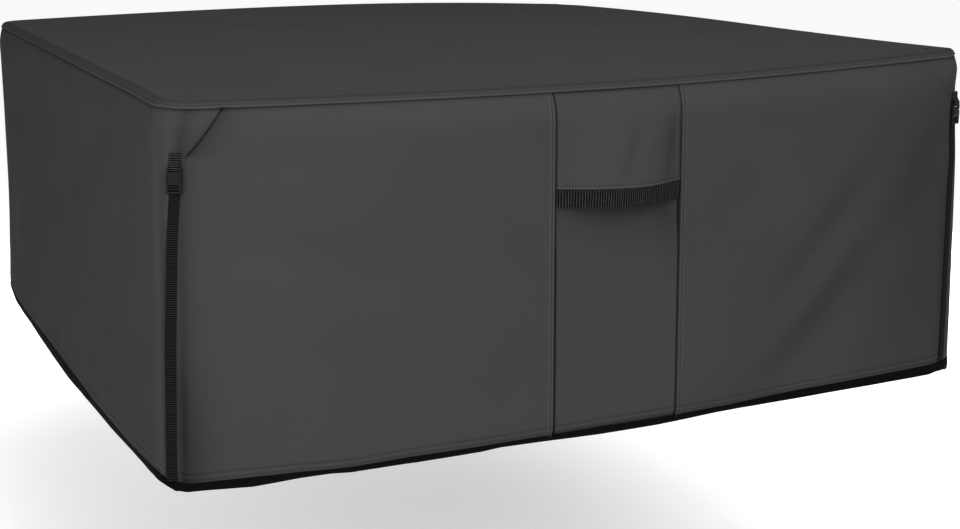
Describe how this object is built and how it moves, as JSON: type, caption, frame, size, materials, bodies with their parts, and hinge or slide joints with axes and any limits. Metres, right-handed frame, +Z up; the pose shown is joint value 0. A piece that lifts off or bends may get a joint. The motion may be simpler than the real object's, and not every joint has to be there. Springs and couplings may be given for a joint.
{
  "type": "patio furniture cover",
  "caption": "Box-shaped fitted cover of coated fabric with a lapped top edge, a hooded front vent with a webbing handle, a bound hem, and corner straps with side-release buckles.",
  "frame": {"origin": "middle of the top panel's underside, where the covered furniture carries the cover", "axes": "+Z up, and the skirt hangs down from the origin; -Y towards the front, which has the vent flap; +X to the right as seen from the front"},
  "size_m": [1.9319, 1.9635, 0.7785],
  "materials": {
    "cloth": "charcoal coated polyester, matt with a faint sheen",
    "webbing": "black ribbed polypropylene webbing and binding tape",
    "buckle_plastic": "black moulded plastic, satin"
  },
  "bodies": {
    "root": {"top_panel": "cloth", "front_left_panel": "cloth", "front_middle_panel": "cloth", "front_right_panel": "cloth", "right_side_panel": "cloth", "rear_panel": "cloth", "left_side_panel": "cloth", "vent_flap": "cloth", "vent_handle": "webbing", "hem_binding_front": "webbing", "hem_binding_right": "webbing", "hem_binding_rear": "webbing", "hem_binding_left": "webbing", "front_right_strap": "webbing", "rear_right_strap": "webbing", "rear_left_strap": "webbing", "front_left_strap": "webbing", "front_right_tab": "webbing", "rear_right_tab": "webbing", "rear_left_tab": "webbing", "front_left_tab": "webbing", "front_right_buckle_socket": "buckle_plastic", "rear_right_buckle_socket": "buckle_plastic", "rear_left_buckle_socket": "buckle_plastic", "front_left_buckle_socket": "buckle_plastic", "front_right_buckle_plug": "buckle_plastic", "rear_right_buckle_plug": "buckle_plastic", "rear_left_buckle_plug": "buckle_plastic", "front_left_buckle_plug": "buckle_plastic"}
  },
  "joints": []
}
